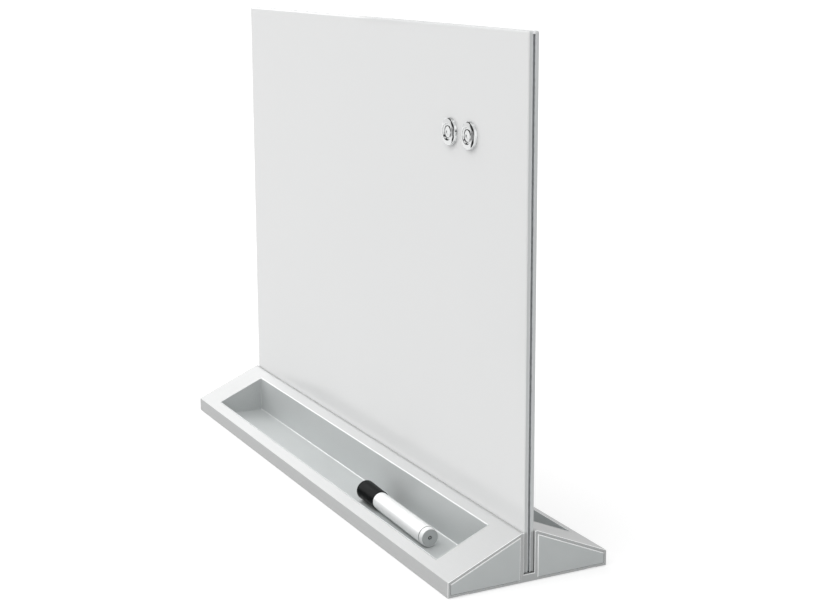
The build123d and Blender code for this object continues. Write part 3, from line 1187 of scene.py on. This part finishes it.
# ---------------------------------------------------------------------------------------
# Marker
# ---------------------------------------------------------------------------------------
@dataclass(frozen=True)
class Turned:
    """One turned piece: its rounded rings, and its recess with a painted shade, by radius and by
    height.
    """

    name: str
    node: str
    body: str
    slot: str
    finish: Finish
    outline: Outline
    rings: tuple[Ring, ...]
    recess: tuple[Span, Span] | None = None

    @property
    def finishes(self) -> tuple[Finish, ...]:
        """The piece's own finish and the painted shade of its recess."""
        return (self.finish, PAINTED_RECESS_SHADE) if self.recess else (self.finish,)

    def in_recess(self, point: Vector) -> bool:
        """Tell whether a point is in the recess."""
        return all(
            low - RECESS_SLACK < size < high + RECESS_SLACK
            for size, (low, high) in zip((point.xy.length, point.z), self.recess)
        )


@dataclass
class Marker:
    """The capped marker.

    The fields that end in start or end are distances along it from its plug end, and those
    that name a part are radii.
    """

    origin: Point = (201.6, -42.0, 12.5124)
    heading: Point = (-0.999829, 0.017452, 0.006159)
    steps: int = 96
    fit: float = 0.1
    barrel: float = 8.75
    barrel_tip: float = 8.35
    barrel_bore: float = 6.85
    barrel_mouth: float = 5.2
    barrel_start: float = 6.1
    barrel_wall_end: float = 101.4
    barrel_end: float = 103.2
    collar: float = 8.2
    collar_end: float = 5.2
    groove: float = 7.2
    groove_rim: float = 8.6
    spigot_end: float = 12.1
    seat: float = 7.7
    seat_end: float = 1.3
    dimple: float = 1.9
    dimple_end: float = 1.0
    nub: float = 0.8
    nub_start: float = 0.3
    nozzle_bore: float = 2.55
    nozzle_tip: float = 3.6
    nozzle_start: float = 94.4
    neck_end: float = 111.2
    nozzle_end: float = 119.2
    nib: float = 2.4
    nib_end: float = 125.2
    cap: float = 9.55
    cap_mouth: float = 8.95
    cap_bore: float = 8.15
    cap_start: float = 103.0
    cap_wall_start: float = 135.0
    cap_taper_end: float = 136.0
    cap_end: float = 138.0
    seal: float = 6.4
    seal_bore: float = 5.3
    seal_start: float = 106.0
    seal_flange_end: float = 108.5
    seal_wall_start: float = 133.8

    def place(self) -> Matrix:
        """Give the matrix that lays the turned shapes along the marker's axis."""
        turn = Vector((0.0, 0.0, 1.0)).rotation_difference(Vector(self.heading))
        return Matrix.Translation(self.origin) @ turn.to_matrix().to_4x4()

    def plug_pieces(self) -> list[Turned]:
        """List the barrel and the pieces at its plug end."""
        spigot, button = self.barrel_bore - self.fit, self.seat - self.fit
        return [
            Turned(
                "barrel_tube", "marker_barrel", "marker", "white_plastic", WHITE_PLASTIC,
                stepped(
                    self.barrel_tip, self.barrel_end, self.barrel_mouth, self.barrel_wall_end,
                    self.barrel_bore, self.barrel_start, self.barrel,
                ),
                (
                    (self.barrel_tip, self.barrel_end, 1.0, 6),
                    (self.barrel, self.barrel_start, 0.2, 3),
                    (self.barrel_mouth, self.barrel_end, 0.2, 2),
                ),
                ((self.barrel_bore, self.groove_rim), (self.barrel_start, self.barrel_start)),
            ),
            Turned(
                "end_collar", "marker_end_plug", "marker", "white_plastic", WHITE_PLASTIC,
                stepped(0.0, self.seat_end, self.seat, 0.0, self.collar) + stepped(
                    self.barrel, self.collar_end, self.groove, self.barrel_start,
                    spigot, self.spigot_end, 0.0,
                ),
                (
                    (self.collar, 0.0, 0.3, 4),
                    (self.seat, 0.0, 0.1, 2),
                    (self.barrel, self.collar_end, 0.15, 3),
                ),
                ((self.groove, self.groove_rim), (self.collar_end, self.barrel_start)),
            ),
            # The end button's grey is painted shade on white plastic.
            Turned(
                "end_button", "marker_end_disc", "marker", "grey_plastic", GREY_SEAL_AND_SHADED_BUTTON,
                stepped(
                    0.0, self.nub_start, self.nub, self.dimple_end, self.dimple, 0.0,
                    button, self.seat_end, 0.0,
                ),
                (
                    (button, 0.0, 0.2, 3),
                    (self.dimple, 0.0, 0.15, 3),
                    (self.nub, self.nub_start, 0.15, 3),
                ),
                ((self.nub, self.dimple), (self.nub_start, self.dimple_end)),
            ),
        ]

    def tip_pieces(self) -> list[Turned]:
        """List the pieces at the writing end and the cap's pieces."""
        flange, neck = self.barrel_bore - self.fit, self.barrel_mouth - self.fit
        seal_rim = self.cap_bore - self.fit
        return [
            Turned(
                "nozzle", "marker_nozzle", "marker", "black_plastic", BLACK_PLASTIC,
                stepped(
                    self.nozzle_bore, self.nozzle_start, flange, self.barrel_wall_end,
                    neck, self.neck_end,
                ) + stepped(self.nozzle_tip, self.nozzle_end, self.nozzle_bore),
                (
                    (neck, self.neck_end, 0.6, 4),
                    (self.nozzle_tip, self.nozzle_end, 0.3, 3),
                    (self.nozzle_bore, self.nozzle_end, 0.15, 2),
                ),
            ),
            Turned(
                "felt_tip", "marker_nib", "marker", "nib_felt", NIB_FELT,
                stepped(0.0, self.nozzle_start, self.nib, self.nib_end, 0.0),
                ((self.nib, self.nib_end, 2.2, 8),),
            ),
            Turned(
                "cap_shell", "marker_cap", "marker_cap", "black_plastic", BLACK_PLASTIC,
                [
                    *stepped(
                        0.0, self.cap_wall_start, self.cap_bore, self.cap_start, self.cap_mouth
                    ),
                    (self.cap, self.cap_taper_end),
                    *stepped(self.cap, self.cap_end, 0.0),
                ],
                (
                    (self.cap, self.cap_end, 1.9, 8),
                    (self.cap_mouth, self.cap_start, 0.25, 3),
                    (self.cap_bore, self.cap_start, 0.2, 2),
                ),
            ),
            Turned(
                "seal_cup", "marker_cap_seal", "marker_cap", "grey_plastic", GREY_SEAL_AND_SHADED_BUTTON,
                stepped(
                    0.0, self.seal_wall_start, self.seal_bore, self.seal_start, seal_rim,
                    self.seal_flange_end, self.seal, self.cap_wall_start, 0.0,
                ),
                (
                    (self.seal_bore, self.seal_start, 0.3, 3),
                    (seal_rim, self.seal_start, 0.2, 2),
                ),
            ),
        ]

    def build(self) -> None:
        """Build and dress every piece of the marker."""
        for piece in self.plug_pieces() + self.tip_pieces():
            shape = Shape.turning(piece.outline, self.steps).round_rings(*piece.rings)
            if piece.recess:
                # The recess gets a painted shade.
                shape.paint(1, corners(piece.in_recess))
            shape.moved(self.place())
            settle(shape, piece.name, piece.body, piece.slot, piece.node, *piece.finishes)
        dress("marker_reservoir", FIBRE)


# ---------------------------------------------------------------------------------------
# Studio
# ---------------------------------------------------------------------------------------
@dataclass(frozen=True)
class Lamp:
    """A far soft lamp: where its light comes from, its strength and how wide it looks."""

    name: str
    source: Point
    strength: float
    spread: float


@dataclass(frozen=True)
class Card:
    """A card that only reflections see: its middle, the way it faces, its size and tone."""

    name: str
    middle: Point
    facing: Point
    size: tuple[float, float]
    tone: float = 0.03


@dataclass
class Studio:
    """The camera, the pale floor, the white surroundings, the soft lamps and the dark cards.

    Polished metal is left out of the lamps' light and shows the surroundings and the cards.
    """

    focal: float = 1558.0
    sensor: float = 36.0
    camera_at: Point = (1350.5, -644.7, 522.4)
    yaw: float = 63.182
    pitch: float = 10.915
    roll: float = -0.266
    shift: float = 0.07
    floor_radius: float = 40000.0
    floor_colour: Colour = (0.5, 0.5, 0.5)
    floor_glow: float = 0.56
    sky: float = 0.715
    lamps: tuple[Lamp, ...] = (
        Lamp("upper_front", (0.0, -0.5, 0.87), 0.95, 40.0),
        Lamp("left", (-0.85, -0.25, 0.45), 1.3, 50.0),
        Lamp("right", (0.94, 0.0, 0.34), 0.38, 60.0),
    )
    cards: tuple[Card, ...] = (
        Card("upper_card", (147.0, -349.0, 570.0), (0.15, 0.853, -0.5), (660.0, 470.0)),
        Card("left_card", (41.0, -67.0, 507.0), (0.73, 0.295, -0.69), (180.0, 160.0)),
        Card("lower_card", (115.0, -303.0, 191.0), (0.296, 0.814, 0.5), (370.0, 240.0)),
        Card("grey_card", (79.0, -412.0, 322.0), (0.257, 0.961, 0.105), (560.0, 120.0), 0.42),
    )

    def build(self, mirrors: Sequence[bpy.types.Object]) -> None:
        """Set up everything that isn't part of the object.

        Args:
            mirrors: The polished metal pieces.
        """
        self.place_camera()
        self.lay_floor()
        self.surround()
        unlit = bpy.data.collections.new("unlit_by_lamps")
        for mirror in mirrors:
            unlit.objects.link(mirror)
        for entry in unlit.collection_objects:
            entry.light_linking.link_state = "EXCLUDE"
        for lamp in self.lamps:
            self.hang(lamp).light_linking.receiver_collection = unlit
        for card in self.cards:
            self.stand(card)
        bpy.context.scene.view_settings.view_transform = "Standard"
        log.info("studio ready, with %d lamps", len(self.lamps))

    def place_camera(self) -> None:
        """Put the camera at the photograph's viewpoint."""
        yaw, pitch, roll = (math.radians(v) for v in (self.yaw, self.pitch, self.roll))
        ahead = Vector((-math.sin(yaw) * math.cos(pitch), math.cos(yaw) * math.cos(pitch),
                        -math.sin(pitch)))
        right = Vector((math.cos(yaw), math.sin(yaw), 0.0))
        above = right.cross(ahead)
        right, above = (
            math.cos(roll) * right + math.sin(roll) * above,
            math.cos(roll) * above - math.sin(roll) * right,
        )
        lens = bpy.data.cameras.new("camera")
        lens.sensor_fit = "HORIZONTAL"
        lens.sensor_width = self.sensor
        lens.lens = self.sensor * self.focal / PICTURE_WIDTH
        lens.shift_y = -self.shift
        camera = bpy.data.objects.new("camera", lens)
        axes = Matrix((right, above, -ahead)).transposed()
        camera.matrix_world = Matrix.Translation(Vector(self.camera_at) * MM) @ axes.to_4x4()
        bpy.context.scene.collection.objects.link(camera)
        bpy.context.scene.camera = camera

    def lay_floor(self) -> None:
        """Lay a wide floor that looks pale but throws little light back at the object."""
        shape = Shape()
        bmesh.ops.create_circle(
            shape.mesh, cap_ends=True, segments=64, radius=self.floor_radius
        )
        paint = bpy.data.materials.new("pale_floor")
        net = Net(paint)
        tone = net.noise(400.0, detail=1.0)
        glow = (self.floor_glow,) * 3
        net.surface({
            "Base Color": net.mix(tone, self.floor_colour, shade(self.floor_colour, 1.01)),
            "Roughness": 0.9,
            "Specular IOR Level": 0.0,
            "Emission Color": net.mix(net.seen(), (0.0, 0.0, 0.0), glow),
            "Emission Strength": 1.0,
        })
        shape.finished("floor", paint)

    def surround(self) -> None:
        """Surround the object with a sky that looks white but lights it evenly and softly."""
        world = bpy.data.worlds.new("surroundings")
        bpy.context.scene.world = world
        net = Net(world)
        tone = net.mix(net.seen(), (self.sky,) * 3, (1.0, 1.0, 1.0))
        back = net.add("ShaderNodeBackground", {}, {"Color": tone})
        net.add("ShaderNodeOutputWorld", {}, {"Surface": back.outputs[0]})

    def stand(self, card: Card) -> None:
        """Stand one card, faded out towards its edges, where polished metal mirrors it.

        Args:
            card: The card.
        """
        shape = Shape()
        shape.mesh.loops.layers.uv.new()
        turn = Vector(card.facing).to_track_quat("Z", "Y").to_matrix().to_4x4()
        place = Matrix.Translation(card.middle) @ turn @ Matrix.Diagonal((*card.size, 1.0, 1.0))
        bmesh.ops.create_grid(
            shape.mesh, x_segments=1, y_segments=1, size=0.5, matrix=place, calc_uvs=True
        )
        paint = bpy.data.materials.new(f"{card.name}_paper")
        net = Net(paint)
        nap = net.mix(net.noise(2.0), (card.tone * 0.8,) * 3, (card.tone * 1.2,) * 3)
        spread = net.add("ShaderNodeTexCoord", {}, {}).outputs["UV"]
        split = net.add("ShaderNodeSeparateXYZ", {}, {0: spread})
        across, upward = (Value(net, split.outputs[axis]) for axis in ("X", "Y"))
        # From 0 at the card's edges to 1 in its middle.
        inside = across * (1.0 - across) * upward * (1.0 - upward) * 16.0
        net.surface({"Base Color": nap, "Roughness": 0.95, "Alpha": inside.ramp(0.0, 0.25)})
        thing = shape.finished(card.name, paint)
        thing.visible_camera = thing.visible_diffuse = False
        thing.visible_shadow = thing.visible_transmission = False

    def hang(self, lamp: Lamp) -> bpy.types.Object:
        """Hang one lamp.

        Args:
            lamp: The lamp, with its strength in watts a square metre.

        Returns:
            The lamp's object.
        """
        data = bpy.data.lights.new(lamp.name, "SUN")
        data.energy = lamp.strength
        data.angle = math.radians(lamp.spread)
        thing = bpy.data.objects.new(lamp.name, data)
        thing.rotation_euler = Vector(lamp.source).to_track_quat("Z", "Y").to_euler()
        bpy.context.scene.collection.objects.link(thing)
        return thing


def main() -> None:
    """Build the whole scene, piece by piece."""
    Base().build()
    Board().build()
    shells = [magnet.build() for magnet in (Magnet(End.LEFT, 170.0), Magnet(End.RIGHT, 205.0))]
    Marker().build()
    Studio().build(shells)


if __name__ == "__main__":
    main()
